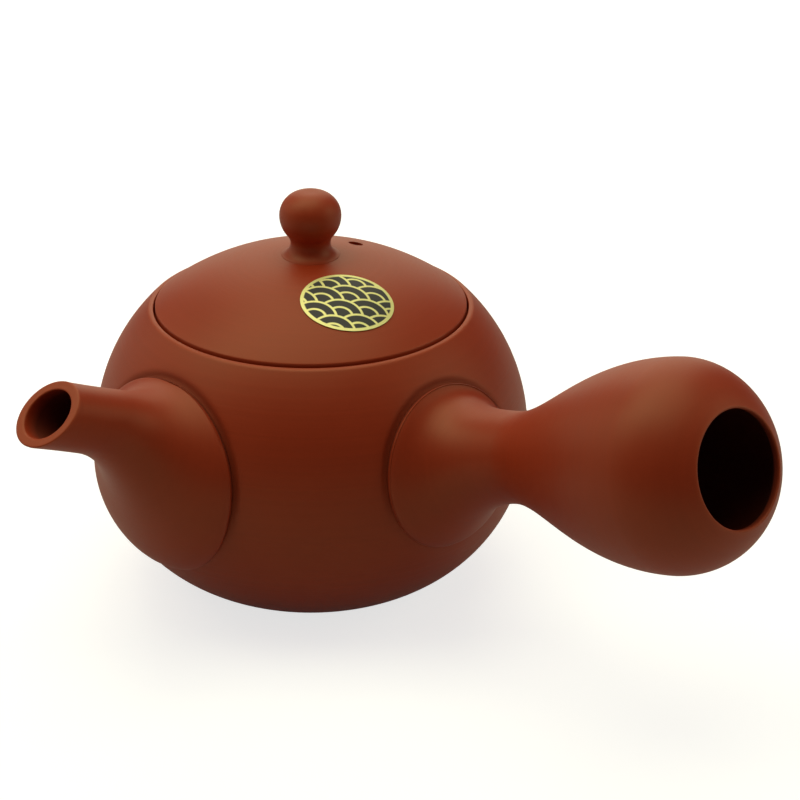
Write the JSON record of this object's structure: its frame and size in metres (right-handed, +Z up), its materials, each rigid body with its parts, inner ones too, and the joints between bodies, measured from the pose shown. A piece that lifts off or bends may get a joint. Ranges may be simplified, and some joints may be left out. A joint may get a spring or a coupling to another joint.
{
  "type": "side-handle teapot",
  "caption": "Squat round unglazed clay teapot with a short luted spout, a hollow gourd-shaped side handle, an inner strainer and a drop-in domed lid with a ball knob and steam hole.",
  "frame": {"origin": "centre of the flat foot, on the table", "axes": "+Z up along the pot's turning axis, -X along the spout in plan, -Y along the handle in plan"},
  "size_m": [0.1258, 0.1683, 0.0873],
  "materials": {
    "clay": "unglazed fine red-brown clay, matt with a soft sheen",
    "strainer_clay": "unglazed red-brown clay, matt",
    "label_paper": "black paper with a printed gold border and pattern"
  },
  "bodies": {
    "pot": {"pot_body": "clay", "spout": "clay", "handle": "clay", "strainer": "strainer_clay"},
    "lid": {"lid": "clay", "lid_knob": "clay", "lid_label": "label_paper"}
  },
  "joints": [
    {"name": "lid_lift", "type": "slide", "parent": "pot", "child": "lid", "axis": [0, 0, 1], "range_m": [0, 0.05]}
  ]
}
